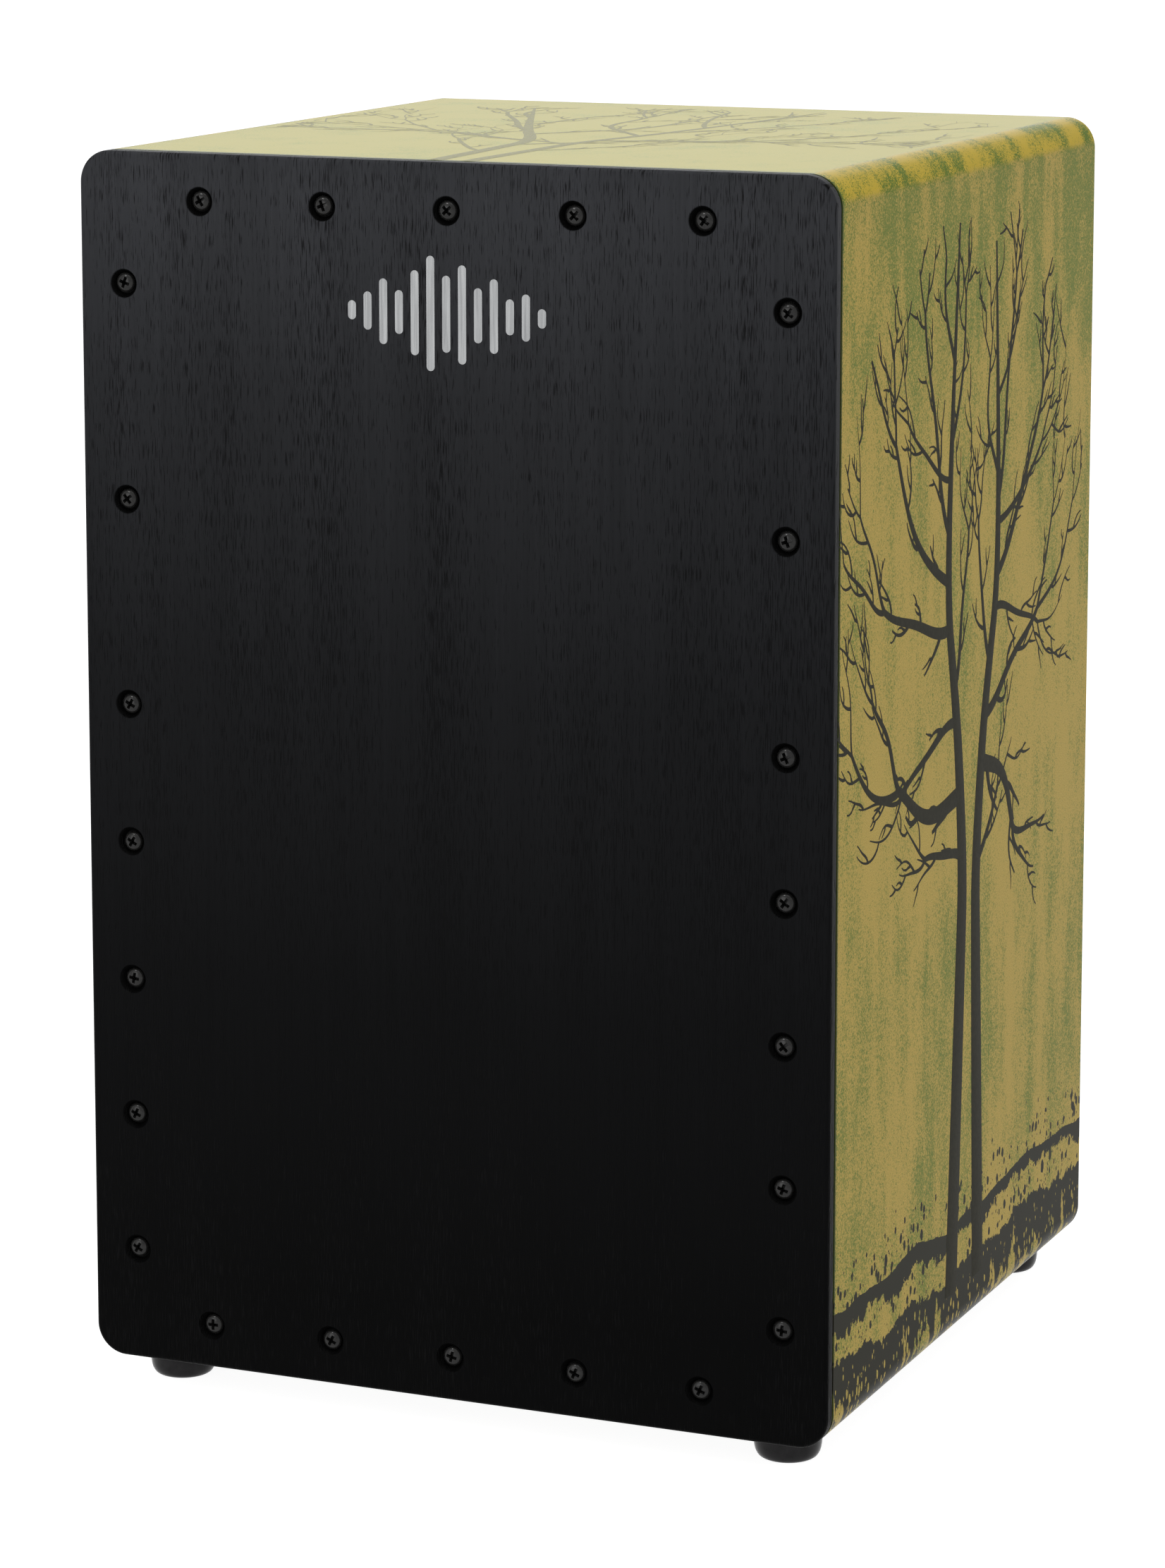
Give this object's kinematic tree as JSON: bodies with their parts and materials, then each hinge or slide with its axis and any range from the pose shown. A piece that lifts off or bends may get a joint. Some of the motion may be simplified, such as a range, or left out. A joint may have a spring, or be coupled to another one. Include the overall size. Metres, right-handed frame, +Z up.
{
  "type": "cajon",
  "caption": "Box drum that is sat on: a black screwed front plate, a printed wooden shell with rounded edges, snares inside, a sound hole behind and rubber feet.",
  "frame": {"origin": "on the floor, under the middle of the box's outline", "axes": "+Z up, -Y out of the front plate, +X to the right as seen from the front"},
  "size_m": [0.3, 0.3, 0.476],
  "materials": {
    "black_veneer": "open-pore veneer, black stain, satin clear coat",
    "black_steel": "black oxide, satin",
    "ply": "birch plywood, clear satin",
    "printed_film": "printed film in ochre and green, satin clear coat",
    "batten_wood": "planed softwood, unfinished",
    "black_back": "thin plywood, black stain, satin",
    "rubber": "dark moulded rubber",
    "bright_steel": "zinc plated steel",
    "snare_steel": "bright spring steel wire"
  },
  "bodies": {
    "root": {"front_plate": "black_veneer", "plate_screw_top_1": "black_steel", "plate_screw_bottom_1": "black_steel", "plate_screw_top_2": "black_steel", "plate_screw_bottom_2": "black_steel", "plate_screw_top_3": "black_steel", "plate_screw_bottom_3": "black_steel", "plate_screw_top_4": "black_steel", "plate_screw_bottom_4": "black_steel", "plate_screw_top_5": "black_steel", "plate_screw_bottom_5": "black_steel", "plate_screw_left_1": "black_steel", "plate_screw_right_1": "black_steel", "plate_screw_left_2": "black_steel", "plate_screw_right_2": "black_steel", "plate_screw_left_3": "black_steel", "plate_screw_right_3": "black_steel", "plate_screw_left_4": "black_steel", "plate_screw_right_4": "black_steel", "plate_screw_left_5": "black_steel", "plate_screw_right_5": "black_steel", "plate_screw_left_6": "black_steel", "plate_screw_right_6": "black_steel", "plate_screw_left_7": "black_steel", "plate_screw_right_7": "black_steel", "top_panel": "ply", "bottom_panel": "ply", "left_panel": "ply", "right_panel": "ply", "printed_film": "printed_film", "front_batten_left": "batten_wood", "front_batten_right": "batten_wood", "front_batten_top": "batten_wood", "front_batten_bottom": "batten_wood", "rear_batten_left": "batten_wood", "rear_batten_right": "batten_wood", "rear_batten_top": "batten_wood", "rear_batten_bottom": "batten_wood", "back_panel": "black_back", "foot_front_left": "rubber", "foot_screw_front_left": "bright_steel", "foot_front_right": "rubber", "foot_screw_front_right": "bright_steel", "foot_rear_left": "rubber", "foot_screw_rear_left": "bright_steel", "foot_rear_right": "rubber", "foot_screw_rear_right": "bright_steel", "snare_rail": "batten_wood", "rail_strap_left": "bright_steel", "rail_strap_right": "bright_steel", "strap_screw_left_outer": "bright_steel", "strap_screw_left_inner": "bright_steel", "snare_screw_left_1": "bright_steel", "snare_screw_left_2": "bright_steel", "strap_screw_right_outer": "bright_steel", "strap_screw_right_inner": "bright_steel", "snare_screw_right_1": "bright_steel", "snare_screw_right_2": "bright_steel", "snare_wires_left": "snare_steel", "snare_wires_right": "snare_steel"}
  },
  "joints": []
}
